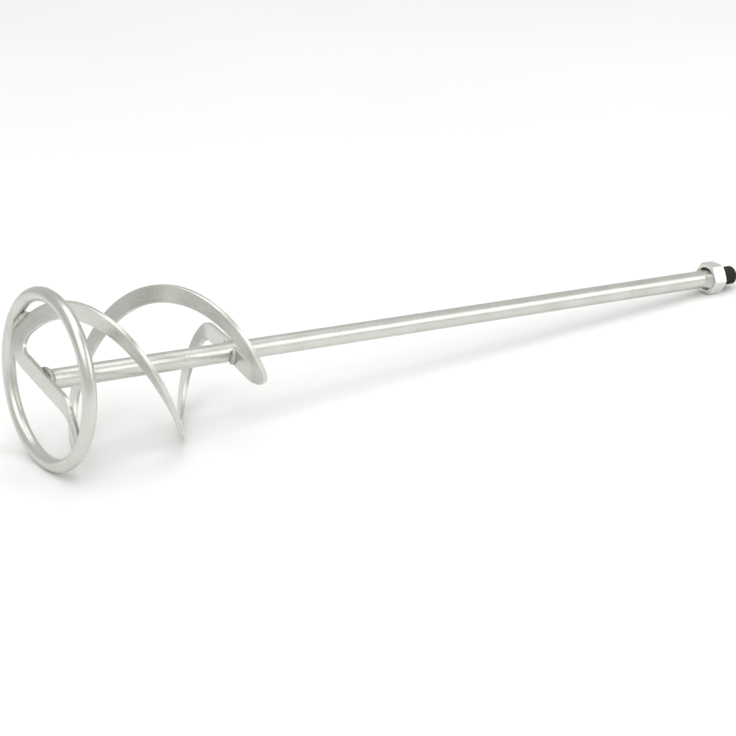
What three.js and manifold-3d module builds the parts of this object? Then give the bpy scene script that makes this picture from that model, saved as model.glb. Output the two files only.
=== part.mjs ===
// Mortar mixing paddle: a zinc-plated welded steel stirrer for a hand-held mixing drill.
// A round-bar ring closes the mixing end. A flat crossbar lies in the ring's plane over the shaft foot. From
// its ends two flat bars bend into the ring, wind up around the shaft in a right-handed spiral and come
// back to it as two arms.
// The other end carries a hexagon nut with a blackened M14 threaded stud, which screws into the mixer.
//
// Everything is first drawn in the tool's own frame, in millimetres: X runs along the shaft from the
// middle plane of the ring towards the stud, and angles turn about X from +Y towards +Z. The tool is then
// laid down on a floor at Z = 0, resting on the ring and on one flat of the nut.

import * as THREE from "three";
import { mergeVertices } from "three/addons/utils/BufferGeometryUtils.js";
import Module from "manifold-3d";

const wasm = await Module();
wasm.setup();

// ---------------------------------------------------------------- driving dimensions, mm
const CLEAR = 0.3; // gap kept between touching pieces

const RING_OUTER_D = 120;
const RING_BAR_D = 9.4;
const RING_FACETS = 32; // one facet faces straight down, so that the ring sits still
const RING_BAR_SIDES = 12;

const SHAFT_D = 13.4;
const SHAFT_START = -1.5; // just behind the crossbar
const SHAFT_END = 567;

const BAR_WIDTH = 12; // the flat bar of both blades
const BAR_THICK = 3.2;

const CROSSBAR_HALF = 20; // the straight bar over the shaft foot, from the axis to each blade
const CROSSBAR_X = -3.4;
const CROSSBAR_ANGLE = 11.2;

// Each blade: start and turn of the spiral, extra angle of its foot and head arms, height of the arms on
// the shaft, radius of the bar's middle line at foot and head, extra in between and less at the head,
// uneven rise, end bends [outward, along].
const BLADE_A = {
  start: 18.2, turn: 342, footKick: 7, headKick: 8, footX: CROSSBAR_X, headX: 138.5,
  footR: 41.4, headR: 43.6, swellR: 2.8, headDrop: 6, bow: -0.026, lag: -0.041,
  footBend: [17, 16], headBend: [13, 12],
};
const BLADE_B = {
  start: 199.7, turn: 353, footKick: 8.5, headKick: 0, footX: CROSSBAR_X, headX: 136.5,
  footR: 47.6, headR: 45.6, swellR: -1.4, headDrop: 4.2, bow: -0.012, lag: -0.034,
  footBend: [20, 20], headBend: [20, 18],
};
const EASE = 0.03; // share of the spiral over which the rise sets in and fades out
const SWING = 0.05; // share over which the arms' extra angle and the head's smaller radius fade

const NUT_AF = 22; // across flats
const NUT_START = 564;
const NUT_LENGTH = 11.5;
const NUT_BORE_R = 7.2;
const NUT_CHAMFER_R = 11.5; // radius where the corner chamfer leaves the end face

const STUD_MAJOR_R = 7.0; // M14
const STUD_MINOR_R = 6.15;
const STUD_PITCH = 2;
const STUD_START = 567.4;
const STUD_END = 592;

const FLOOR_Z = 0;

// ---------------------------------------------------------------- colours
const ZINC = { color: 0xb9bab3, roughness: 0.38, metalness: 0.9 };
const WELD = { color: 0xa8a9a2, roughness: 0.5, metalness: 0.85 };
const BLACK = { color: 0x24241f, roughness: 0.55, metalness: 0.6 };

// ---------------------------------------------------------------- small vector helpers
const deg = THREE.MathUtils.degToRad;
const alongX = new THREE.Vector3(1, 0, 0);

function outward(angle) {
  return new THREE.Vector3(0, Math.cos(deg(angle)), Math.sin(deg(angle)));
}

function sideways(angle) {
  return new THREE.Vector3(0, -Math.sin(deg(angle)), Math.cos(deg(angle)));
}

function mix(...terms) {
  const sum = new THREE.Vector3();
  for (const [vector, amount] of terms) sum.addScaledVector(vector, amount);
  return sum;
}

// ---------------------------------------------------------------- solids and cuts
function toManifold(geometry) {
  const bare = geometry.index ? geometry.toNonIndexed() : geometry.clone();
  bare.deleteAttribute("normal");
  bare.deleteAttribute("uv");
  const merged = mergeVertices(bare, 1e-4);
  return new wasm.Manifold(new wasm.Mesh({
    numProp: 3,
    vertProperties: new Float32Array(merged.attributes.position.array),
    triVerts: new Uint32Array(merged.index.array),
  }));
}

function fromManifold(solid) {
  const mesh = solid.getMesh();
  const geometry = new THREE.BufferGeometry();
  geometry.setAttribute("position", new THREE.BufferAttribute(mesh.vertProperties, 3));
  geometry.setIndex(new THREE.BufferAttribute(mesh.triVerts, 1));
  return geometry;
}

function cut(geometry, ...tools) {
  let solid = toManifold(geometry);
  for (const tool of tools) solid = solid.subtract(toManifold(tool));
  return fromManifold(solid);
}

// A closed skin around rows of corner points, each row one cross-section in the same turning sense.
function skin(rows) {
  const sides = rows[0].length;
  const points = rows.flat();
  const faces = [];
  for (let row = 0; row + 1 < rows.length; row += 1) {
    for (let side = 0; side < sides; side += 1) {
      const a = row * sides + side;
      const b = row * sides + ((side + 1) % sides);
      faces.push(a, b, a + sides, b, b + sides, a + sides);
    }
  }
  const last = (rows.length - 1) * sides;
  for (let side = 1; side + 1 < sides; side += 1) {
    faces.push(0, side + 1, side);
    faces.push(last, last + side, last + side + 1);
  }
  const geometry = new THREE.BufferGeometry();
  const numbers = points.flatMap((p) => [p.x, p.y, p.z]);
  geometry.setAttribute("position", new THREE.Float32BufferAttribute(numbers, 3));
  geometry.setIndex(faces);
  return geometry;
}

// A solid of revolution about the tool's X axis. The profile lists [x, radius] corners and closes on itself.
function turned(profile, facets, phase = 0) {
  const outline = [...profile, profile[0]].map(([x, radius]) => new THREE.Vector2(radius, x));
  const geometry = new THREE.LatheGeometry(outline, facets, deg(phase));
  geometry.rotateZ(-Math.PI / 2);
  return geometry;
}

// A turned solid that has material on its axis.
function turnedSolid(profile, facets, phase = 0) {
  const outline = profile.map(([x, radius]) => new THREE.Vector2(radius, x));
  const geometry = new THREE.LatheGeometry(outline, facets, deg(phase));
  geometry.rotateZ(-Math.PI / 2);
  return geometry;
}

// ---------------------------------------------------------------- round bar ring
function ringBar(extra) {
  const barR = RING_BAR_D / 2 + extra;
  const middleR = RING_OUTER_D / 2 - RING_BAR_D / 2;
  const half = 180 / RING_FACETS;
  const fit = 1 / Math.cos(deg(half)); // keeps the outermost facet at the ring's true radius
  const corners = [];
  for (let side = 0; side < RING_BAR_SIDES; side += 1) {
    const around = deg((360 * side) / RING_BAR_SIDES);
    corners.push([barR * Math.sin(around), (middleR + barR * Math.cos(around)) * fit]);
  }
  return turned(corners, RING_FACETS, half);
}

// ---------------------------------------------------------------- shaft
function shaftBar(extra) {
  const r = SHAFT_D / 2 + extra;
  const edge = 0.8;
  const lead = extra > 0 ? 4 : 0;
  return turnedSolid([
    [SHAFT_START - lead, 0],
    [SHAFT_START - lead, r - edge],
    [SHAFT_START - lead + edge, r],
    [SHAFT_END - edge, r],
    [SHAFT_END, r - edge],
    [SHAFT_END, 0],
  ], 32);
}

// ---------------------------------------------------------------- blades
// The middle line of one blade with the bar's directions at each station: the way it runs, the way its
// width points, and the way its wide face looks. The arms lie square to the shaft.
function bladeStations(blade) {
  const length = deg(blade.turn) * 0.5 * (blade.footR + blade.headR);
  const rise = blade.headX - blade.footX;
  const stations = [];

  function radiusAt(q) {
    const even = blade.footR + (blade.headR - blade.footR) * q + blade.swellR * Math.sin(Math.PI * q);
    return even - blade.headDrop * Math.exp((q - 1) / SWING);
  }

  function heightAt(q) {
    const even = rise * (q + blade.bow * Math.sin(2 * Math.PI * q) + blade.lag * Math.sin(Math.PI * q));
    const started = even * (1 - Math.exp(-q / EASE));
    return blade.footX + rise - (rise - started) * (1 - Math.exp((q - 1) / EASE));
  }

  function angleAt(q) {
    return blade.start + blade.turn * q
      - blade.footKick * Math.exp(-q / SWING) + blade.headKick * Math.exp((q - 1) / SWING);
  }

  function add(q, radius, out, along) {
    const angle = angleAt(q);
    const before = Math.max(0, q - 1e-4);
    const after = Math.min(1, q + 1e-4);
    const pitch = Math.atan((heightAt(after) - heightAt(before)) / ((after - before) * length));
    const climb = mix([sideways(angle), Math.cos(pitch)], [alongX, Math.sin(pitch)]);
    const size = Math.hypot(out, along);
    const width = mix([outward(angle), along / size], [climb, -out / size]);
    const at = mix([alongX, heightAt(q)], [outward(angle), radius]);
    stations.push({ at, width, angle, q, radius });
  }

  const [footOut, footAlong] = blade.footBend;
  const [headOut, headAlong] = blade.headBend;
  const qFoot = footAlong / length;
  const qHead = 1 - headAlong / length;
  const footTop = radiusAt(qFoot);
  const headTop = radiusAt(qHead);
  add(0, CROSSBAR_HALF + CLEAR, 1, 0);
  add(0, footTop - footOut, 1, 0);
  for (let step = 1; step <= 9; step += 1) {
    const u = deg((90 * step) / 9);
    add((footAlong * (1 - Math.cos(u))) / length, footTop - footOut + footOut * Math.sin(u),
      footOut * Math.cos(u), footAlong * Math.sin(u));
  }
  const spiralSteps = 56;
  for (let step = 1; step <= spiralSteps; step += 1) {
    const q = qFoot + ((qHead - qFoot) * step) / spiralSteps;
    add(q, radiusAt(q), 0, 1);
  }
  for (let step = 1; step <= 9; step += 1) {
    const u = deg((90 * step) / 9);
    add(qHead + (headAlong * Math.sin(u)) / length, headTop - headOut * (1 - Math.cos(u)),
      -headOut * Math.sin(u), headAlong * Math.cos(u) + 1e-6);
  }
  add(1, 4, -1, 0);

  stations.forEach((station, index) => {
    const before = stations[Math.max(0, index - 1)].at;
    const after = stations[Math.min(stations.length - 1, index + 1)].at;
    station.run = after.clone().sub(before).normalize();
    station.face = new THREE.Vector3().crossVectors(station.run, station.width).normalize();
    station.width = new THREE.Vector3().crossVectors(station.face, station.run);
  });
  return stations;
}

// The straight flat bar over the shaft foot.
function crossbar() {
  const outwards = outward(CROSSBAR_ANGLE);
  const across = sideways(CROSSBAR_ANGLE);
  const rows = [-CROSSBAR_HALF, CROSSBAR_HALF].map((reach) => {
    const end = mix([alongX, CROSSBAR_X], [outwards, reach]);
    return [[1, 1], [-1, 1], [-1, -1], [1, -1]].map(([w, t]) => (
      mix([end, 1], [across, (w * BAR_WIDTH) / 2], [alongX, (t * BAR_THICK) / 2])
    ));
  });
  return skin(rows);
}

function bladeBar(blade, extra) {
  const w = BAR_WIDTH / 2 + extra;
  const t = BAR_THICK / 2 + extra;
  const rows = bladeStations(blade).map(({ at, width, face }) => [
    mix([at, 1], [width, w], [face, t]),
    mix([at, 1], [width, -w], [face, t]),
    mix([at, 1], [width, -w], [face, -t]),
    mix([at, 1], [width, w], [face, -t]),
  ]);
  return skin(rows);
}

function bladeCut(blade) {
  return cut(bladeBar(blade, 0), ringBar(CLEAR), shaftBar(CLEAR));
}

// ---------------------------------------------------------------- hexagon nut and threaded stud
function hexPrism(acrossFlats, start, length) {
  const corner = acrossFlats / 2 / Math.cos(deg(30));
  const outline = new THREE.Shape();
  for (let side = 0; side < 6; side += 1) {
    const angle = deg(60 * side);
    const point = [corner * Math.cos(angle), corner * Math.sin(angle)];
    if (side === 0) outline.moveTo(...point);
    else outline.lineTo(...point);
  }
  outline.closePath();
  const geometry = new THREE.ExtrudeGeometry(outline, { depth: length, bevelEnabled: false });
  geometry.rotateX(Math.PI / 2);
  geometry.rotateZ(Math.PI / 2);
  geometry.translate(start, 0, 0);
  return geometry;
}

function driveNut() {
  const end = NUT_START + NUT_LENGTH;
  const corner = NUT_AF / 2 / Math.cos(deg(30)) + 0.1;
  const drop = (corner - NUT_CHAMFER_R) * Math.tan(deg(30));
  const envelope = turnedSolid([
    [NUT_START, 0],
    [NUT_START, NUT_CHAMFER_R],
    [NUT_START + drop, corner],
    [end - drop, corner],
    [end, NUT_CHAMFER_R],
    [end, 0],
  ], 48);
  const bore = turnedSolid([
    [NUT_START - 1, 0],
    [NUT_START - 1, NUT_BORE_R],
    [end + 1, NUT_BORE_R],
    [end + 1, 0],
  ], 32);
  const hexagon = toManifold(hexPrism(NUT_AF, NUT_START, NUT_LENGTH));
  return fromManifold(hexagon.intersect(toManifold(envelope)).subtract(toManifold(bore)));
}

function driveStud() {
  const threadStart = NUT_START + NUT_LENGTH + 1.2;
  const tip = 1.6;
  const profile = [
    [STUD_START, 0],
    [STUD_START, STUD_MINOR_R],
    [STUD_START + 0.7, STUD_MAJOR_R - 0.1],
    [threadStart - 0.6, STUD_MAJOR_R - 0.1],
  ];
  const turns = Math.floor((STUD_END - tip - threadStart) / STUD_PITCH);
  for (let turn = 0; turn < turns; turn += 1) {
    const x = threadStart + turn * STUD_PITCH;
    profile.push([x, STUD_MINOR_R], [x + STUD_PITCH * 0.5, STUD_MAJOR_R]);
  }
  profile.push([threadStart + turns * STUD_PITCH, STUD_MINOR_R]);
  profile.push([STUD_END - tip, STUD_MAJOR_R - 0.3]);
  profile.push([STUD_END, STUD_MAJOR_R - 0.3 - tip], [STUD_END, 0]);
  return turnedSolid(profile, 24);
}

// ---------------------------------------------------------------- weld beads
// A tapered round bead laid along a line of points, before its neighbours are cut away from it.
function bead(points, radius) {
  const sides = 10;
  const rows = points.map((point, index) => {
    const before = points[Math.max(0, index - 1)];
    const after = points[Math.min(points.length - 1, index + 1)];
    const run = after.clone().sub(before).normalize();
    const helper = Math.abs(run.x) > 0.9 ? new THREE.Vector3(0, 0, 1) : alongX;
    const across = new THREE.Vector3().crossVectors(run, helper).normalize();
    const up = new THREE.Vector3().crossVectors(run, across);
    const q = index / (points.length - 1);
    const size = radius * Math.sqrt(Math.max(0.12, 1 - (2 * q - 1) ** 4));
    const row = [];
    for (let side = 0; side < sides; side += 1) {
      const around = deg((360 * side) / sides);
      row.push(mix([point, 1], [across, size * Math.cos(around)], [up, size * Math.sin(around)]));
    }
    return row;
  });
  return skin(rows);
}

// The bead between one head arm and the shaft, on one of the arm's two wide faces.
function armWeld(blade, side) {
  const head = bladeStations(blade).at(-1);
  const off = BAR_THICK / 2 + 0.7;
  const seat = SHAFT_D / 2 + 1.0;
  const tilt = -head.width.x / Math.hypot(head.width.y, head.width.z);
  const points = [];
  for (let step = 0; step <= 8; step += 1) {
    const swing = -44 + 11 * step;
    const height = head.at.x + side * off / Math.cos(Math.atan(tilt))
      + Math.sign(head.width.dot(sideways(head.angle))) * -tilt * seat * Math.sin(deg(swing));
    points.push(mix([alongX, height], [outward(head.angle + swing), seat]));
  }
  return cut(bead(points, 2.3), shaftBar(CLEAR), bladeBar(blade, CLEAR));
}

// The bead between one blade's foot bend and the inside of the ring, on one wide face of the blade.
function ringWeld(blade, side) {
  const reach = RING_OUTER_D / 2 - RING_BAR_D - 0.6;
  const points = bladeStations(blade)
    .filter(({ q, radius }) => radius > blade.footR - 2.5 && q < 0.09)
    .map(({ at, face, angle }) => {
      const onRing = mix([alongX, at.x], [outward(angle), reach]);
      return onRing.addScaledVector(face, side * (BAR_THICK / 2 + 1.1));
    });
  return cut(bead(points, 2.4), ringBar(CLEAR), bladeBar(blade, CLEAR));
}

function footWeld() {
  const start = SHAFT_START;
  const seat = SHAFT_D / 2 + CLEAR;
  return turned([
    [start, seat],
    [start, seat + 2.6],
    [start + 1.4, seat + 2.0],
    [start + 3.4, seat + 0.4],
    [start + 3.8, seat],
  ], 24);
}

function nutWeld() {
  const face = NUT_START - CLEAR;
  const seat = SHAFT_D / 2 + CLEAR;
  return turned([
    [face - 5.6, seat],
    [face - 5.2, seat + 0.5],
    [face - 2.6, seat + 1.9],
    [face - 0.8, seat + 3.3],
    [face, seat + 3.3],
    [face, seat],
  ], 28);
}

// ---------------------------------------------------------------- the tool, laid down
const pieces = [
  ["shaft", shaftBar(0), ZINC],
  ["bottom_ring", ringBar(0), ZINC],
  ["crossbar", crossbar(), ZINC],
  ["blade_a", bladeCut(BLADE_A), ZINC],
  ["blade_b", bladeCut(BLADE_B), ZINC],
  ["drive_nut", driveNut(), ZINC],
  ["drive_stud", driveStud(), BLACK],
  ["weld_nut", nutWeld(), WELD],
  ["weld_shaft_foot", footWeld(), WELD],
  ["weld_arm_a_lower", armWeld(BLADE_A, -1), WELD],
  ["weld_arm_a_upper", armWeld(BLADE_A, 1), WELD],
  ["weld_arm_b_lower", armWeld(BLADE_B, -1), WELD],
  ["weld_arm_b_upper", armWeld(BLADE_B, 1), WELD],
  ["weld_ring_a_front", ringWeld(BLADE_A, 1), WELD],
  ["weld_ring_a_back", ringWeld(BLADE_A, -1), WELD],
  ["weld_ring_b_front", ringWeld(BLADE_B, 1), WELD],
  ["weld_ring_b_back", ringWeld(BLADE_B, -1), WELD],
];

// Height of a piece's lowest point once the tool is turned about Y by an angle.
function lowest(geometry, angle) {
  const position = geometry.attributes.position;
  let low = Infinity;
  for (let i = 0; i < position.count; i += 1) {
    low = Math.min(low, position.getZ(i) * Math.cos(angle) - position.getX(i) * Math.sin(angle));
  }
  return low;
}

// The angle at which the ring and the nut reach equally low.
function restAngle(ring, nut) {
  let small = 0;
  let large = deg(12);
  for (let round = 0; round < 50; round += 1) {
    const middle = (small + large) / 2;
    if (lowest(ring, middle) < lowest(nut, middle)) small = middle;
    else large = middle;
  }
  return (small + large) / 2;
}

const byName = Object.fromEntries(pieces);
const angle = restAngle(byName.bottom_ring, byName.drive_nut);
for (const [, geometry] of pieces) geometry.rotateY(angle);

const box = new THREE.Box3();
for (const [, geometry] of pieces) {
  geometry.computeBoundingBox();
  box.union(geometry.boundingBox);
}
const centre = box.getCenter(new THREE.Vector3());
const shift = new THREE.Vector3(-centre.x, -centre.y, FLOOR_Z - box.min.z);

const paddle = new THREE.Group();
for (const [name, geometry, look] of pieces) {
  geometry.translate(shift.x, shift.y, shift.z);
  geometry.deleteAttribute("normal");
  geometry.deleteAttribute("uv");
  geometry.computeVertexNormals();
  const mesh = new THREE.Mesh(geometry, new THREE.MeshStandardMaterial(look));
  mesh.name = name;
  paddle.add(mesh);
}

export default paddle;
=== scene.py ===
"""Visual model of the mortar mixing paddle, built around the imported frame.

Lengths named in millimetres are in the tool's own frame: X runs along the shaft from the middle plane of
the ring towards the stud, and angles turn about X from +Y towards +Z. The matrix TOOL turns them into
metres in the row frame, where the tool lies on a floor at Z = 0.
"""

import math

import bmesh
import bpy
from mathutils import Matrix, Vector


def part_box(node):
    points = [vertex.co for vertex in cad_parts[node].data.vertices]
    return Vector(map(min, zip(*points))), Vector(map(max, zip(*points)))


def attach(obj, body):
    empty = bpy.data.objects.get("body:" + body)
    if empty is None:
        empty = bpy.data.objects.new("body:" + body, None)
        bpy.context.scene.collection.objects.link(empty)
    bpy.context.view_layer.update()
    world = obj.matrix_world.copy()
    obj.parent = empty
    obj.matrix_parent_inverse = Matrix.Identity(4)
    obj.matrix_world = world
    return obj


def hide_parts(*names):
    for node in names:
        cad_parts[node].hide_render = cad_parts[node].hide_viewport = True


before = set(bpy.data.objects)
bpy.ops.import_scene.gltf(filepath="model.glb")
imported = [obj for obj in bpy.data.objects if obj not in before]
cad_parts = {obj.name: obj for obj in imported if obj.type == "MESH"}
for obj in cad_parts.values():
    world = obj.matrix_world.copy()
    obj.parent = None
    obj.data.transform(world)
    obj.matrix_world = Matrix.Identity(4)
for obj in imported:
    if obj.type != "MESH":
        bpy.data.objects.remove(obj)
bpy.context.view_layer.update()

# ---------------------------------------------------------------- dimensions, mm
RING_OUTER_D = 120.0
RING_BAR_D = 9.4

SHAFT_D = 13.4
SHAFT_START = -1.5
SHAFT_END = 567.0

BAR_WIDTH = 12.0
BAR_THICK = 3.2
BAR_CORNER_R = 0.7

CROSSBAR_HALF = 20.0
CROSSBAR_X = -3.4
CROSSBAR_ANGLE = 11.2

BLADE_A = {
    "start": 18.2, "turn": 342, "footKick": 7, "headKick": 8, "footX": CROSSBAR_X, "headX": 138.5,
    "footR": 41.4, "headR": 43.6, "swellR": 2.8, "headDrop": 6, "bow": -0.026, "lag": -0.041,
    "footBend": (17, 16), "headBend": (13, 12),
}
BLADE_B = {
    "start": 199.7, "turn": 353, "footKick": 8.5, "headKick": 0, "footX": CROSSBAR_X, "headX": 136.5,
    "footR": 47.6, "headR": 45.6, "swellR": -1.4, "headDrop": 4.2, "bow": -0.012, "lag": -0.034,
    "footBend": (20, 20), "headBend": (20, 18),
}
EASE = 0.03
SWING = 0.05

NUT_AF = 22.0
NUT_START = 564.0
NUT_LENGTH = 11.5
NUT_CHAMFER_R = 11.3
NUT_BORE_R = 7.2

STUD_MAJOR_R = 7.0
STUD_MINOR_R = 5.95
STUD_PITCH = 2.0
STUD_START = 567.4
STUD_END = 592.0

ARM_BEAD_R = 2.0
RING_BEAD_R = 1.9

# ---------------------------------------------------------------- studio, metres
FLOOR_HALF = 9.0

# ---------------------------------------------------------------- camera, metres from the ring's centre
CAMERA_FROM_RING = Vector((-0.62037, -1.25911, 0.57555))
CAMERA_LOOK = Vector((0.52526, 0.762286, -0.378183))
CAMERA_LENS = 115.58


# ---------------------------------------------------------------- the tool's frame in the row frame
def middle(node):
    low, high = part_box(node)
    return (low + high) / 2


def tool_frame():
    """The matrix that takes a point in the tool's frame, in mm, to the row frame, in metres."""
    ring = middle("bottom_ring")
    along = (middle("drive_nut") - ring).normalized()
    across = Vector((0, 1, 0))
    up = along.cross(across)
    matrix = Matrix((along, across, up)).transposed().to_4x4() @ Matrix.Scale(0.001, 4)
    matrix.translation = ring
    return matrix


TOOL = tool_frame()
TURN = TOOL.to_3x3() * 1000


def outward(angle):
    return Vector((0, math.cos(math.radians(angle)), math.sin(math.radians(angle))))


def sideways(angle):
    return Vector((0, -math.sin(math.radians(angle)), math.cos(math.radians(angle))))


ALONG = Vector((1, 0, 0))


# ---------------------------------------------------------------- shader helpers
def node(tree, kind, **values):
    made = tree.nodes.new(kind)
    for key, value in values.items():
        setattr(made, key, value)
    return made


def noise(tree, source, scale, detail=3.0, roughness=0.55):
    made = node(tree, "ShaderNodeTexNoise")
    made.inputs["Scale"].default_value = scale
    made.inputs["Detail"].default_value = detail
    made.inputs["Roughness"].default_value = roughness
    tree.links.new(source, made.inputs["Vector"])
    return made.outputs["Fac"]


def stretched(tree, source, factors):
    made = node(tree, "ShaderNodeMapping")
    made.inputs["Scale"].default_value = factors
    tree.links.new(source, made.inputs["Vector"])
    return made.outputs["Vector"]


def ramp(tree, source, low, high, from_low=0.35, from_high=0.65):
    """Spreads a grey value over a range of numbers."""
    made = node(tree, "ShaderNodeMapRange")
    made.inputs["From Min"].default_value = from_low
    made.inputs["From Max"].default_value = from_high
    made.inputs["To Min"].default_value = low
    made.inputs["To Max"].default_value = high
    tree.links.new(source, made.inputs["Value"])
    return made.outputs["Result"]


def colours(tree, source, stops):
    made = node(tree, "ShaderNodeValToRGB")
    ramp_data = made.color_ramp
    ramp_data.elements[0].position = stops[0][0]
    ramp_data.elements[0].color = (*stops[0][1], 1)
    ramp_data.elements[1].position = stops[-1][0]
    ramp_data.elements[1].color = (*stops[-1][1], 1)
    for position, colour in stops[1:-1]:
        ramp_data.elements.new(position).color = (*colour, 1)
    tree.links.new(source, made.inputs["Fac"])
    return made.outputs["Color"]


def socket(sockets, name):
    """The socket of that name that is in use, as a Mix node has several of each name."""
    return next(each for each in sockets if each.name == name and each.enabled)


def blend_colour(tree, factor, first, second, mode="MIX"):
    made = node(tree, "ShaderNodeMix", data_type="RGBA", blend_type=mode)
    if isinstance(factor, float):
        socket(made.inputs, "Factor").default_value = factor
    else:
        tree.links.new(factor, socket(made.inputs, "Factor"))
    tree.links.new(first, socket(made.inputs, "A"))
    if isinstance(second, tuple):
        socket(made.inputs, "B").default_value = (*second, 1)
    else:
        tree.links.new(second, socket(made.inputs, "B"))
    return socket(made.outputs, "Result")


def combine(tree, operation, first, second):
    made = node(tree, "ShaderNodeMath", operation=operation)
    tree.links.new(first, made.inputs[0])
    if isinstance(second, (int, float)):
        made.inputs[1].default_value = second
    else:
        tree.links.new(second, made.inputs[1])
    return made.outputs["Value"]


def bump(tree, height, distance, strength=1.0):
    made = node(tree, "ShaderNodeBump")
    made.inputs["Strength"].default_value = strength
    made.inputs["Distance"].default_value = distance
    tree.links.new(height, made.inputs["Height"])
    return made.outputs["Normal"]


def fresh_material(name):
    material = bpy.data.materials.new(name)
    material.use_nodes = True
    tree = material.node_tree
    return material, tree, tree.nodes["Principled BSDF"]


# ---------------------------------------------------------------- materials
def zinc_material(name, light, dark, sheen_low, sheen_high, grain):
    """Electro-galvanised steel: faint clouds, lines along the bar, fine crystals and brighter worn edges."""
    material, tree, shader = fresh_material(name)
    links = tree.links
    place_at = node(tree, "ShaderNodeTexCoord")
    cloud = noise(tree, place_at.outputs["Object"], 46, 4)
    speck = noise(tree, place_at.outputs["Object"], 900, 2)
    lines = noise(tree, stretched(tree, place_at.outputs["UV"], (14, 1500, 1)), 1.0, 5, 0.6)
    scratch = noise(tree, stretched(tree, place_at.outputs["UV"], (60, 3600, 1)), 1.0, 2, 0.4)
    wear = node(tree, "ShaderNodeAttribute", attribute_name="wear")

    base = colours(tree, cloud, [(0.3, dark), (0.7, light)])
    fine = colours(tree, lines, [(0.3, (0.93, 0.93, 0.92)), (0.7, (1.0, 1.0, 1.0))])
    whole = blend_colour(tree, 1.0, base, fine, "MULTIPLY")
    rubbed = combine(tree, "MULTIPLY", wear.outputs["Fac"], ramp(tree, cloud, 0.35, 0.95))
    colour = blend_colour(tree, rubbed, whole, (0.80, 0.80, 0.77))
    links.new(colour, shader.inputs["Base Color"])

    rough = combine(tree, "ADD", ramp(tree, lines, sheen_low, sheen_high), ramp(tree, speck, -0.02, 0.03))
    links.new(rough, shader.inputs["Roughness"])
    shader.inputs["Metallic"].default_value = 1.0

    line_relief = combine(tree, "MULTIPLY", lines, 0.8)
    speck_relief = combine(tree, "MULTIPLY", speck, grain)
    relief = combine(tree, "ADD", line_relief, speck_relief)
    relief = combine(tree, "ADD", relief, combine(tree, "MULTIPLY", scratch, 0.25))
    links.new(bump(tree, relief, 0.00006), shader.inputs["Normal"])
    return material


def weld_material():
    """Zinc over a weld bead: a little darker and rougher than the bars, with spatter and fine pits."""
    material, tree, shader = fresh_material("weld_metal")
    links = tree.links
    place_at = node(tree, "ShaderNodeTexCoord")
    cloud = noise(tree, place_at.outputs["Object"], 160, 4)
    pits = noise(tree, place_at.outputs["Object"], 1400, 3)
    stops = [(0.25, (0.43, 0.44, 0.41)), (0.55, (0.56, 0.57, 0.54)), (0.8, (0.65, 0.66, 0.62))]
    colour = colours(tree, cloud, stops)
    links.new(colour, shader.inputs["Base Color"])
    links.new(ramp(tree, cloud, 0.36, 0.5), shader.inputs["Roughness"])
    shader.inputs["Metallic"].default_value = 1.0
    links.new(bump(tree, combine(tree, "ADD", cloud, pits), 0.00012), shader.inputs["Normal"])
    return material


def black_material():
    """Blackened steel of the stud: dull black with greyer thread crests."""
    material, tree, shader = fresh_material("black_steel")
    links = tree.links
    place_at = node(tree, "ShaderNodeTexCoord")
    cloud = noise(tree, place_at.outputs["Object"], 260, 4)
    grain = noise(tree, place_at.outputs["Object"], 2200, 2)
    wear = node(tree, "ShaderNodeAttribute", attribute_name="wear")
    base = colours(tree, cloud, [(0.3, (0.008, 0.008, 0.005)), (0.7, (0.018, 0.018, 0.012))])
    rubbed = combine(tree, "MULTIPLY", wear.outputs["Fac"], ramp(tree, cloud, 0.1, 0.55))
    links.new(blend_colour(tree, rubbed, base, (0.065, 0.066, 0.048)), shader.inputs["Base Color"])
    links.new(ramp(tree, cloud, 0.38, 0.55), shader.inputs["Roughness"])
    shader.inputs["Metallic"].default_value = 0.2
    links.new(bump(tree, grain, 0.00004), shader.inputs["Normal"])
    return material


def floor_material():
    material, tree, shader = fresh_material("studio_floor")
    place_at = node(tree, "ShaderNodeTexCoord")
    cloud = noise(tree, place_at.outputs["Object"], 3, 2)
    colour = colours(tree, cloud, [(0.3, (0.90, 0.90, 0.90)), (0.7, (0.92, 0.92, 0.92))])
    tree.links.new(colour, shader.inputs["Base Color"])
    shader.inputs["Roughness"].default_value = 0.9
    shader.inputs["Specular IOR Level"].default_value = 0.1
    return material


ZINC = zinc_material("zinc_steel", (0.69, 0.70, 0.66), (0.61, 0.62, 0.58), 0.24, 0.36, 0.35)
ZINC_NUT = zinc_material("zinc_nut", (0.82, 0.83, 0.79), (0.74, 0.75, 0.71), 0.34, 0.46, 0.6)
WELD = weld_material()
BLACK = black_material()


# ---------------------------------------------------------------- mesh helpers
def make_piece(name, points, faces, material, replaced, uvs=None, wear=None, normals=None):
    """A mesh piece from points in the tool's frame. It rides on the root body and stands for CAD nodes."""
    mesh = bpy.data.meshes.new(name)
    mesh.from_pydata([TOOL @ p for p in points], [], faces)
    if uvs:
        layer = mesh.uv_layers.new(name="UVMap")
        layer.data.foreach_set("uv", [number for corner in uvs for number in corner])
    if wear:
        attribute = mesh.attributes.new("wear", "FLOAT", "POINT")
        attribute.data.foreach_set("value", wear)
    mesh.polygons.foreach_set("use_smooth", [True] * len(mesh.polygons))
    if normals:
        mesh.normals_split_custom_set_from_vertices([(TURN @ n).normalized() for n in normals])
    mesh.update()
    return finish_piece(name, mesh, material, replaced)


def finish_piece(name, mesh, material, replaced):
    piece = bpy.data.objects.new(name, mesh)
    bpy.context.scene.collection.objects.link(piece)
    mesh.materials.append(material)
    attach(piece, "root")
    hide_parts(*replaced)
    return piece


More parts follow.
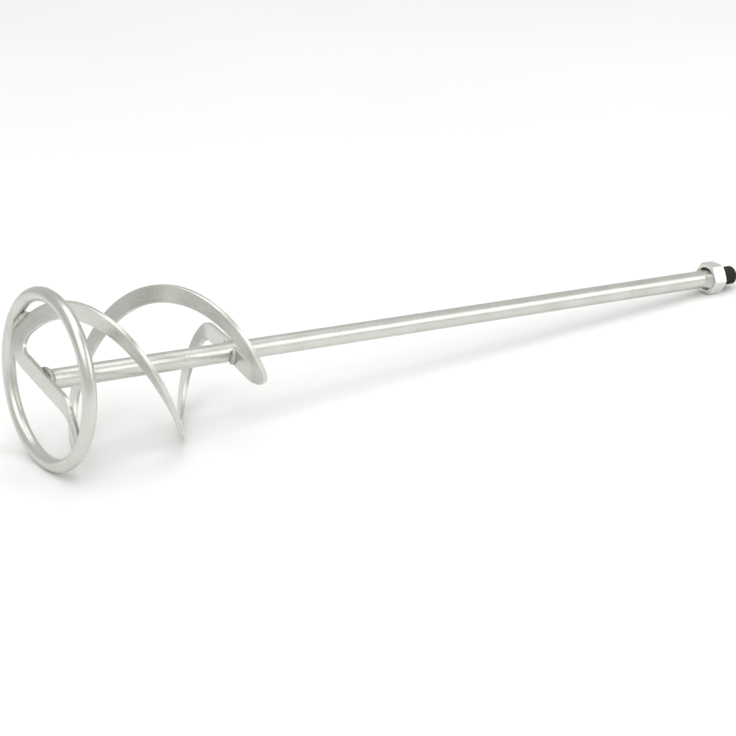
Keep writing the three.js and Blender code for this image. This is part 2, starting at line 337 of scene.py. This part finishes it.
def tube_faces(rows, sides, loop=False, caps=True):
    """Faces and per-corner (row, side) marks for a skin of rows of points."""
    faces = []
    marks = []
    last = rows if loop else rows - 1
    for row in range(last):
        for side in range(sides):
            nxt = (side + 1) % sides
            up = (row + 1) % rows
            faces.append((row * sides + side, row * sides + nxt, up * sides + nxt, up * sides + side))
            marks.extend([(row, side), (row, side + 1), (row + 1, side + 1), (row + 1, side)])
    if caps and not loop:
        faces.append(tuple(reversed(range(sides))))
        marks.extend([(0, side) for side in reversed(range(sides))])
        faces.append(tuple(range((rows - 1) * sides, rows * sides)))
        marks.extend([(rows - 1, side) for side in range(sides)])
    return faces, marks


def spread_uvs(marks, lengths, girths):
    """UV in metres: U along the bar, V around it."""
    return [(lengths[row] * 0.001, girths[side] * 0.001) for row, side in marks]


def running_lengths(centres, loop=False):
    lengths = [0.0]
    for before, after in zip(centres, centres[1:]):
        lengths.append(lengths[-1] + (after - before).length)
    if loop:
        lengths.append(lengths[-1] + (centres[0] - centres[-1]).length)
    return lengths


def running_girths(section):
    girths = [0.0]
    for (a, b), (c, d) in zip(section, section[1:] + section[:1]):
        girths.append(girths[-1] + math.hypot(c - a, d - b))
    return girths


# ---------------------------------------------------------------- ring
def build_ring():
    rows = 288
    sides = 40
    bar_r = RING_BAR_D / 2
    middle_r = RING_OUTER_D / 2 - bar_r
    points = []
    normals = []
    centres = []
    turns = [math.tau * k / sides for k in range(sides)]
    section = [(bar_r * math.sin(turn), bar_r * math.cos(turn)) for turn in turns]
    for row in range(rows):
        angle = 360 * row / rows
        out = outward(angle)
        centres.append(out * middle_r)
        for x, reach in section:
            points.append(ALONG * x + out * (middle_r + reach))
            normals.append(ALONG * x + out * reach)
    faces, marks = tube_faces(rows, sides, loop=True)
    faces = [tuple(reversed(face)) for face in faces]
    marks = [mark for k in range(0, len(marks), 4) for mark in reversed(marks[k:k + 4])]
    uvs = spread_uvs(marks, running_lengths(centres, loop=True), running_girths(section))
    return make_piece("ring_bar", points, faces, ZINC, ["bottom_ring"], uvs,
                      [0.0] * len(points), normals)


# ---------------------------------------------------------------- turned pieces
def build_turned(name, profile, sides, material, replaced, wear_at=()):
    """A solid turned about X. The profile runs along it as (x, radius, normal x, normal out)."""
    points = []
    normals = []
    wear = []
    for index, (x, radius, nx, nr) in enumerate(profile):
        for side in range(sides):
            out = outward(360 * side / sides)
            points.append(ALONG * x + out * radius)
            normals.append(ALONG * nx + out * nr)
            wear.append(1.0 if index in wear_at else 0.0)
    faces, marks = tube_faces(len(profile), sides)
    lengths = [0.0]
    for (x0, r0, _, _), (x1, r1, _, _) in zip(profile, profile[1:]):
        lengths.append(lengths[-1] + math.hypot(x1 - x0, r1 - r0))
    reach = max(radius for _, radius, _, _ in profile)
    girths = [math.tau * reach * side / sides for side in range(sides + 1)]
    uvs = spread_uvs(marks, lengths, girths)
    return make_piece(name, points, faces, material, replaced, uvs, wear, normals)


def build_shaft():
    r = SHAFT_D / 2
    edge = 0.8
    profile = [(SHAFT_START, r - edge, -1, 0)]
    for step in range(5):
        a = math.radians(90 * step / 4)
        profile.append((SHAFT_START + edge - edge * math.cos(a), r - edge + edge * math.sin(a),
                        -math.cos(a), math.sin(a)))
    steps = 90
    for step in range(1, steps):
        x = SHAFT_START + edge + (SHAFT_END - SHAFT_START - 2 * edge) * step / steps
        profile.append((x, r, 0, 1))
    for step in range(5):
        a = math.radians(90 * step / 4)
        profile.append((SHAFT_END - edge + edge * math.sin(a), r - edge + edge * math.cos(a),
                        math.sin(a), math.cos(a)))
    profile.append((SHAFT_END, r - edge, 1, 0))
    return build_turned("shaft_bar", profile, 96, ZINC, ["shaft"])


# ---------------------------------------------------------------- blades
def blade_stations(blade, spiral_steps=260, bend_steps=22):
    """Middle line of a blade with the bar's run, width and face directions at each station."""
    length = math.radians(blade["turn"]) * 0.5 * (blade["footR"] + blade["headR"])
    rise = blade["headX"] - blade["footX"]
    stations = []

    def radius_at(q):
        even = blade["footR"] + (blade["headR"] - blade["footR"]) * q
        even += blade["swellR"] * math.sin(math.pi * q)
        return even - blade["headDrop"] * math.exp((q - 1) / SWING)

    def height_at(q):
        even = rise * (q + blade["bow"] * math.sin(math.tau * q) + blade["lag"] * math.sin(math.pi * q))
        started = even * (1 - math.exp(-q / EASE))
        return blade["footX"] + rise - (rise - started) * (1 - math.exp((q - 1) / EASE))

    def angle_at(q):
        kicks = blade["headKick"] * math.exp((q - 1) / SWING) - blade["footKick"] * math.exp(-q / SWING)
        return blade["start"] + blade["turn"] * q + kicks

    def add(q, radius, out, along):
        angle = angle_at(q)
        before = max(0, q - 1e-4)
        after = min(1, q + 1e-4)
        pitch = math.atan((height_at(after) - height_at(before)) / ((after - before) * length))
        climb = sideways(angle) * math.cos(pitch) + ALONG * math.sin(pitch)
        size = math.hypot(out, along)
        width = outward(angle) * (along / size) - climb * (out / size)
        at = ALONG * height_at(q) + outward(angle) * radius
        stations.append({"at": at, "width": width, "angle": angle, "q": q, "radius": radius})

    foot_out, foot_along = blade["footBend"]
    head_out, head_along = blade["headBend"]
    q_foot = foot_along / length
    q_head = 1 - head_along / length
    foot_top = radius_at(q_foot)
    head_top = radius_at(q_head)
    add(0, CROSSBAR_HALF, 1, 0)
    add(0, (CROSSBAR_HALF + foot_top - foot_out) / 2, 1, 0)
    add(0, foot_top - foot_out, 1, 0)
    for step in range(1, bend_steps + 1):
        u = math.radians(90 * step / bend_steps)
        add(foot_along * (1 - math.cos(u)) / length, foot_top - foot_out + foot_out * math.sin(u),
            foot_out * math.cos(u), foot_along * math.sin(u))
    for step in range(1, spiral_steps + 1):
        q = q_foot + (q_head - q_foot) * step / spiral_steps
        add(q, radius_at(q), 0, 1)
    for step in range(1, bend_steps + 1):
        u = math.radians(90 * step / bend_steps)
        add(q_head + head_along * math.sin(u) / length, head_top - head_out * (1 - math.cos(u)),
            -head_out * math.sin(u), head_along * math.cos(u) + 1e-6)
    for radius in (24, 18, 12, 7, 4):
        if radius < head_top - head_out - 0.5:
            add(1, radius, -1, 0)

    for index, station in enumerate(stations):
        before = stations[max(0, index - 1)]["at"]
        after = stations[min(len(stations) - 1, index + 1)]["at"]
        station["run"] = (after - before).normalized()
        station["face"] = station["run"].cross(station["width"]).normalized()
        station["width"] = station["face"].cross(station["run"])
    return stations


def bar_section():
    """Rounded rectangle across a flat bar: (width, thickness, normal, normal, wear) around it."""
    corners = []
    steps = 5
    for sign_w, sign_t, start in ((1, 1, 0), (-1, 1, 90), (-1, -1, 180), (1, -1, 270)):
        centre_w = sign_w * (BAR_WIDTH / 2 - BAR_CORNER_R)
        centre_t = sign_t * (BAR_THICK / 2 - BAR_CORNER_R)
        for step in range(steps + 1):
            a = math.radians(start + 90 * step / steps)
            nw = math.cos(a)
            nt = math.sin(a)
            corners.append((centre_w + BAR_CORNER_R * nw, centre_t + BAR_CORNER_R * nt, nw, nt,
                            math.sin(math.pi * step / steps) ** 0.5 if 0 < step < steps else 0.0))
    return corners


def crossbar_stations():
    """The straight bar over the shaft foot, in the same form as a blade's stations."""
    run = outward(CROSSBAR_ANGLE)
    width = -sideways(CROSSBAR_ANGLE)
    return [{"at": ALONG * CROSSBAR_X + run * (CROSSBAR_HALF * step / 4), "run": run, "width": width,
             "face": run.cross(width)} for step in range(-4, 5)]


def build_flat_bar(name, stations, replaced):
    section = bar_section()
    points = []
    normals = []
    wear = []
    for station in stations:
        for w, t, nw, nt, worn in section:
            points.append(station["at"] + station["width"] * w + station["face"] * t)
            normals.append(station["width"] * nw + station["face"] * nt)
            wear.append(worn)
    faces, marks = tube_faces(len(stations), len(section))
    lengths = running_lengths([station["at"] for station in stations])
    girths = running_girths([(w, t) for w, t, _, _, _ in section])
    return make_piece(name, points, faces, ZINC, [replaced], spread_uvs(marks, lengths, girths),
                      wear, normals)


# ---------------------------------------------------------------- nut
def hex_radius(angle, flat, rounding):
    """Distance from the axis to the side of a hexagon with slightly rounded corners."""
    off = (angle % 60) - 30
    tangent = math.degrees(math.atan((flat - rounding) * math.tan(math.radians(30)) / flat))
    if abs(off) <= tangent:
        return flat / math.cos(math.radians(off))
    gap = math.radians(30 - abs(off))
    centre = (flat - rounding) / math.cos(math.radians(30))
    return centre * math.cos(gap) + math.sqrt(max(0.0, rounding ** 2 - (centre * math.sin(gap)) ** 2))


def build_nut():
    """Hexagon nut, chamfered at both ends, with flats facing up and down. Angle 0 is a corner."""
    flat = NUT_AF / 2
    rounding = 0.5
    near_corner = (0, 0.5, 1.1, 1.8, 2.6, 4, 6, 9, 13)
    across_flat = (18, 24, 30, 36, 42)
    to_next_corner = (47, 51, 54, 56, 57.4, 58.2, 58.9, 59.5)
    angles = []
    for side in range(6):
        for off in near_corner + across_flat + to_next_corner:
            angles.append(60 * side + off)
    end = NUT_START + NUT_LENGTH
    rows = []

    def row(place_at, reach):
        rows.append([ALONG * place_at(a) + outward(a) * reach(a) for a in angles])

    def side_r(a):
        return hex_radius(a, flat, rounding)

    def drop(a):
        return max(0.0, side_r(a) - NUT_CHAMFER_R) / math.sqrt(3) + 0.12

    def face_r(a):
        return min(NUT_CHAMFER_R, side_r(a)) - 0.15

    row(lambda a: NUT_START + 2.4, lambda a: NUT_BORE_R)
    row(lambda a: NUT_START, lambda a: NUT_BORE_R + 1.7)
    row(lambda a: NUT_START, lambda a: NUT_BORE_R + 1.8)
    row(lambda a: NUT_START, face_r)
    row(lambda a: NUT_START + drop(a), side_r)
    row(lambda a: NUT_START + drop(a) + 0.25, side_r)
    row(lambda a: end - drop(a) - 0.25, side_r)
    row(lambda a: end - drop(a), side_r)
    row(lambda a: end, face_r)
    row(lambda a: end, lambda a: NUT_BORE_R + 0.9)
    row(lambda a: end, lambda a: NUT_BORE_R + 0.8)
    row(lambda a: end - 0.9, lambda a: NUT_BORE_R)
    points = [point for line in rows for point in line]
    worn_rows = (4, 7)
    wear = [0.8 if index in worn_rows else 0.0 for index, line in enumerate(rows) for _ in line]
    faces, marks = tube_faces(len(rows), len(angles), loop=True)
    lengths = [0, 3, 3.1, 6, 8, 8.2, 16, 16.2, 18, 21, 21.1, 23, 30]
    girths = [math.radians(a) * flat for a in angles] + [math.tau * flat]
    piece = make_piece("nut_hexagon", points, faces, ZINC_NUT, ["drive_nut"],
                       spread_uvs(marks, lengths, girths), wear)
    piece.data.set_sharp_from_angle(angle=math.radians(24))
    piece.modifiers.new("weighted", "WEIGHTED_NORMAL").keep_sharp = True
    return piece


# ---------------------------------------------------------------- threaded stud
def thread_section():
    """One pitch of the thread as (share of the pitch, radius, wear)."""
    low = STUD_MINOR_R
    high = STUD_MAJOR_R
    return [(0.0, low, 0), (0.06, low, 0), (0.14, low + 0.05, 0), (0.42, high - 0.06, 0.3), (0.46, high, 1),
            (0.54, high, 1), (0.58, high - 0.06, 0.3), (0.86, low + 0.05, 0), (0.94, low, 0), (1.0, low, 0)]


def thread_mesh(start, end):
    """A closed bar with a real right-handed helical thread, longer than the stud at both ends."""
    per_turn = 72
    section = thread_section()
    turns = math.ceil((end - start) / STUD_PITCH)
    build = bmesh.new()
    layer = build.verts.layers.float.new("wear")
    columns = []
    for index in range(turns * per_turn + 1):
        angle = 360 * index / per_turn
        column = []
        for share, radius, worn in section:
            x = start + STUD_PITCH * (index / per_turn + share)
            vert = build.verts.new(TOOL @ (ALONG * x + outward(angle) * radius))
            vert[layer] = worn
            column.append(vert)
        columns.append(column)
    for first, second in zip(columns, columns[1:]):
        for k in range(len(section) - 1):
            build.faces.new((first[k], second[k], second[k + 1], first[k + 1]))
    bmesh.ops.remove_doubles(build, verts=build.verts, dist=1e-7)
    ends = [build.verts.new(TOOL @ (ALONG * x)) for x in (start, end + STUD_PITCH)]
    middle_x = (TOOL @ (ALONG * (start + end) / 2)).x
    for edge in [e for e in build.edges if e.is_boundary]:
        centre = ends[0] if edge.verts[0].co.x < middle_x else ends[1]
        build.faces.new((edge.verts[0], edge.verts[1], centre))
    bmesh.ops.recalc_face_normals(build, faces=build.faces)
    mesh = bpy.data.meshes.new("thread")
    build.to_mesh(mesh)
    build.free()
    return mesh


def envelope_mesh():
    """What a lathe leaves of the stud: chamfered ends."""
    top = STUD_MAJOR_R + 0.02
    tip = 1.7
    profile = [(STUD_START, 0.0), (STUD_START, STUD_MINOR_R - 0.4), (STUD_START + 1.2, top),
               (STUD_END - tip, top), (STUD_END - 0.5, STUD_MINOR_R - 0.5),
               (STUD_END - 0.1, STUD_MINOR_R - 1.1), (STUD_END, STUD_MINOR_R - 1.7), (STUD_END, 0.0)]
    sides = 96
    build = bmesh.new()
    rows = []
    for x, radius in profile:
        if radius == 0:
            rows.append([build.verts.new(TOOL @ (ALONG * x))] * sides)
        else:
            rows.append([build.verts.new(TOOL @ (ALONG * x + outward(360 * k / sides + 0.7) * radius))
                         for k in range(sides)])
    for first, second in zip(rows, rows[1:]):
        for k in range(sides):
            ring = [first[k], first[(k + 1) % sides], second[(k + 1) % sides], second[k]]
            corners = list(dict.fromkeys(ring))
            build.faces.new(corners)
    bmesh.ops.recalc_face_normals(build, faces=build.faces)
    mesh = bpy.data.meshes.new("envelope")
    build.to_mesh(mesh)
    build.free()
    return mesh


def build_stud():
    stock = bpy.data.objects.new("stud_stock", thread_mesh(STUD_START - 3.3, STUD_END + 1.0))
    tool = bpy.data.objects.new("stud_envelope", envelope_mesh())
    for part in (stock, tool):
        bpy.context.scene.collection.objects.link(part)
    boolean = stock.modifiers.new("turned", "BOOLEAN")
    boolean.operation = "INTERSECT"
    boolean.solver = "EXACT"
    boolean.object = tool
    graph = bpy.context.evaluated_depsgraph_get()
    mesh = bpy.data.meshes.new_from_object(stock.evaluated_get(graph))
    for part in (stock, tool):
        bpy.data.objects.remove(part)
    mesh.materials.clear()
    mesh.polygons.foreach_set("use_smooth", [True] * len(mesh.polygons))
    mesh.set_sharp_from_angle(angle=math.radians(35))
    return finish_piece("stud_thread", mesh, BLACK, ["drive_stud"])


# ---------------------------------------------------------------- weld beads
def wobble(number):
    """A repeatable value between -1 and 1 that looks random."""
    value = math.sin(number * 12.9898 + 4.1414) * 43758.5453
    return 2 * (value - math.floor(value)) - 1


def resample(points, count):
    """Points spread evenly along a smooth line through the given ones."""
    lengths = running_lengths(points)
    total = lengths[-1]
    made = []
    for index in range(count):
        want = total * index / (count - 1)
        k = 0
        while k < len(points) - 2 and lengths[k + 1] < want:
            k += 1
        span = lengths[k + 1] - lengths[k]
        t = (want - lengths[k]) / span if span else 0
        p1 = points[k]
        p2 = points[k + 1]
        p0 = points[k - 1] if k else p1 * 2 - p2
        p3 = points[k + 2] if k + 2 < len(points) else p2 * 2 - p1
        made.append(0.5 * (2 * p1 + (p2 - p0) * t + (2 * p0 - 5 * p1 + 4 * p2 - p3) * t * t
                           + (3 * p1 - p0 - 3 * p2 + p3) * t ** 3))
    return made


def build_bead(name, line, radius, replaced, seed, ripple=1.15):
    """A weld bead along a line: crescent ripples, uneven width and rounded ends."""
    sides = 20
    length = running_lengths(line)[-1]
    count = max(24, int(length / 0.22))
    centres = resample(line, count)
    points = []
    for index, centre in enumerate(centres):
        before = centres[max(0, index - 1)]
        after = centres[min(count - 1, index + 1)]
        run = (after - before).normalized()
        helper = Vector((0, 0, 1)) if abs(run.x) > 0.9 else ALONG
        across = run.cross(helper).normalized()
        up = run.cross(across)
        q = index / (count - 1)
        end = math.sqrt(max(0.0, 1 - abs(2 * q - 1) ** 5))
        drift = 0.05 * math.sin(q * 9 + seed) + 0.04 * math.sin(q * 23 + 2 * seed)
        for side in range(sides):
            a = math.tau * side / sides
            lean = 0.35 * math.cos(2 * a)
            phase = (q * length / ripple + lean) % 1
            step = 0.075 * (1 - phase) ** 0.6 + 0.012 * wobble(math.floor(q * length / ripple + lean) + seed)
            size = radius * max(0.05, end) * (0.955 + drift + step)
            points.append(centre + across * (size * math.cos(a)) + up * (size * math.sin(a)))
    faces, marks = tube_faces(count, sides)
    uvs = spread_uvs(marks, [length * k / (count - 1) for k in range(count)],
                     [math.tau * radius * k / sides for k in range(sides + 1)])
    return make_piece(name, points, faces, WELD, replaced, uvs)


def coarse_stations(blade):
    """Fewer stations of the same blade, enough to lay a weld along."""
    return blade_stations(blade, 56, 9)


def arm_line(blade, side):
    """Where a blade's head arm meets the shaft, on one face of the bar."""
    head = blade_stations(blade)[-1]
    off = BAR_THICK / 2 + 0.7
    seat = SHAFT_D / 2 + 1.0
    tilt = -head["width"].x / math.hypot(head["width"].y, head["width"].z)
    turn = math.copysign(1, head["width"].dot(sideways(head["angle"])))
    line = []
    for step in range(13):
        swing = -44 + 88 * step / 12
        height = head["at"].x + side * off / math.cos(math.atan(tilt))
        height -= turn * tilt * seat * math.sin(math.radians(swing))
        line.append(ALONG * height + outward(head["angle"] + swing) * seat)
    return line


def ring_line(blade, side):
    """Between a blade's outer edge and the ring, on one face of the bar."""
    edge = min(blade["footR"] + BAR_WIDTH / 2, RING_OUTER_D / 2 - RING_BAR_D)
    reach = (edge + RING_OUTER_D / 2 - RING_BAR_D) / 2
    line = []
    for station in coarse_stations(blade):
        if station["radius"] > blade["footR"] - 2.5 and station["q"] < 0.09:
            on_ring = ALONG * station["at"].x + outward(station["angle"]) * reach
            line.append(on_ring + station["face"] * (side * (BAR_THICK / 2 + 0.4)))
    return line


def build_collar(name, profile, replaced, seed, ripple_angle, gaps=0.0):
    """A fillet weld round the shaft with ripples that lean one way. Gaps thin it at the top and bottom."""
    inner = profile[0][1]
    sides = 240
    points = []
    for index, (x, radius, depth) in enumerate(profile):
        for side in range(sides):
            angle = 360 * side / sides
            lean = 0.5 * index / len(profile)
            place = angle / ripple_angle + lean
            crescent = math.floor(place) % round(360 / ripple_angle)
            lift = depth * (0.32 * (1 - place % 1) ** 0.6 + 0.12 * math.sin(math.radians(angle * 2) + seed)
                            + 0.05 * wobble(crescent + seed))
            kept = 1 - gaps * min(1, max(0, (abs(math.sin(math.radians(angle))) - 0.55) / 0.3))
            points.append(ALONG * x + outward(angle) * (inner + (radius + lift - inner) * kept))
    faces, marks = tube_faces(len(profile), sides, loop=True)
    uvs = spread_uvs(marks, list(range(len(profile) + 1)), [0.2 * side for side in range(sides + 1)])
    piece = make_piece(name, points, faces, WELD, replaced, uvs)
    piece.data.set_sharp_from_angle(angle=math.radians(50))
    return piece


def build_nut_weld():
    face = NUT_START
    inner = SHAFT_D / 2 - 0.3
    profile = [(face - 5.9, inner, 0), (face - 5.9, inner + 0.35, 0), (face - 5.0, inner + 0.9, 0.5),
               (face - 3.8, inner + 1.4, 0.9), (face - 2.6, inner + 2.0, 1.0), (face - 1.5, inner + 2.7, 1.0),
               (face - 0.7, inner + 3.1, 0.8), (face - 0.05, inner + 3.35, 0.4), (face - 0.02, inner, 0)]
    return build_collar("weld_nut_bead", profile, ["weld_nut"], 0.7, 12, 0.88)


def build_foot_weld():
    start = SHAFT_START - 0.3
    inner = SHAFT_D / 2 - 0.3
    profile = [(start, inner, 0), (start, inner + 2.3, 0.3), (start + 0.8, inner + 2.2, 0.8),
               (start + 1.7, inner + 1.9, 0.9), (start + 2.6, inner + 1.2, 0.8),
               (start + 3.4, inner + 0.6, 0.4), (start + 4.1, inner + 0.3, 0)]
    return build_collar("weld_foot_bead", profile, ["weld_shaft_foot"], 1.9, 15)


def build_welds():
    build_nut_weld()
    build_foot_weld()
    for letter, blade, seed in (("a", BLADE_A, 5), ("b", BLADE_B, 11)):
        for word, side in (("lower", -1), ("upper", 1)):
            name = "weld_arm_" + letter + "_" + word
            build_bead(name + "_bead", arm_line(blade, side), ARM_BEAD_R, [name], seed + side)
        for word, side in (("front", 1), ("back", -1)):
            name = "weld_ring_" + letter + "_" + word
            build_bead(name + "_bead", ring_line(blade, side), RING_BEAD_R, [name], seed + 3 * side)


# ---------------------------------------------------------------- studio
def build_floor():
    mesh = bpy.data.meshes.new("studio_floor")
    corners = [(-FLOOR_HALF, -FLOOR_HALF, 0), (FLOOR_HALF, -FLOOR_HALF, 0),
               (FLOOR_HALF, FLOOR_HALF, 0), (-FLOOR_HALF, FLOOR_HALF, 0)]
    mesh.from_pydata(corners, [], [(0, 1, 2, 3)])
    mesh.materials.append(floor_material())
    floor = bpy.data.objects.new("studio_floor", mesh)
    bpy.context.scene.collection.objects.link(floor)


def build_light(name, at, target, size, power):
    data = bpy.data.lights.new(name, "AREA")
    data.shape = "RECTANGLE"
    data.size = size[0]
    data.size_y = size[1]
    data.energy = power
    light = bpy.data.objects.new(name, data)
    light.location = at
    light.rotation_euler = (Vector(target) - Vector(at)).to_track_quat("-Z", "Y").to_euler()
    bpy.context.scene.collection.objects.link(light)


def build_studio():
    world = bpy.data.worlds.new("studio")
    bpy.context.scene.world = world
    world.use_nodes = True
    sky = world.node_tree.nodes["Background"]
    sky.inputs["Color"].default_value = (0.97, 0.98, 0.96, 1)
    sky.inputs["Strength"].default_value = 0.72
    build_light("key_softbox", (-1.3, -1.0, 1.9), (-0.1, 0, 0), (2.0, 1.5), 15)
    build_light("fill_softbox", (1.5, -1.6, 1.2), (0.1, 0, 0), (2.0, 1.4), 11)
    build_light("top_softbox", (0.1, 0.1, 2.3), (0.1, 0, 0), (2.4, 1.6), 17)
    bpy.context.scene.view_settings.view_transform = "Standard"
    build_floor()


def build_camera():
    data = bpy.data.cameras.new("photo_camera")
    data.sensor_width = 36
    data.lens = CAMERA_LENS
    data.clip_start = 0.05
    data.clip_end = 50
    camera = bpy.data.objects.new("photo_camera", data)
    camera.location = middle("bottom_ring") + CAMERA_FROM_RING
    camera.rotation_euler = CAMERA_LOOK.to_track_quat("-Z", "Y").to_euler()
    bpy.context.scene.collection.objects.link(camera)
    bpy.context.scene.camera = camera


build_camera()
build_shaft()
build_ring()
build_flat_bar("crossbar_bar", crossbar_stations(), "crossbar")
build_flat_bar("blade_a_bar", blade_stations(BLADE_A), "blade_a")
build_flat_bar("blade_b_bar", blade_stations(BLADE_B), "blade_b")
build_nut()
build_stud()
build_welds()
build_studio()
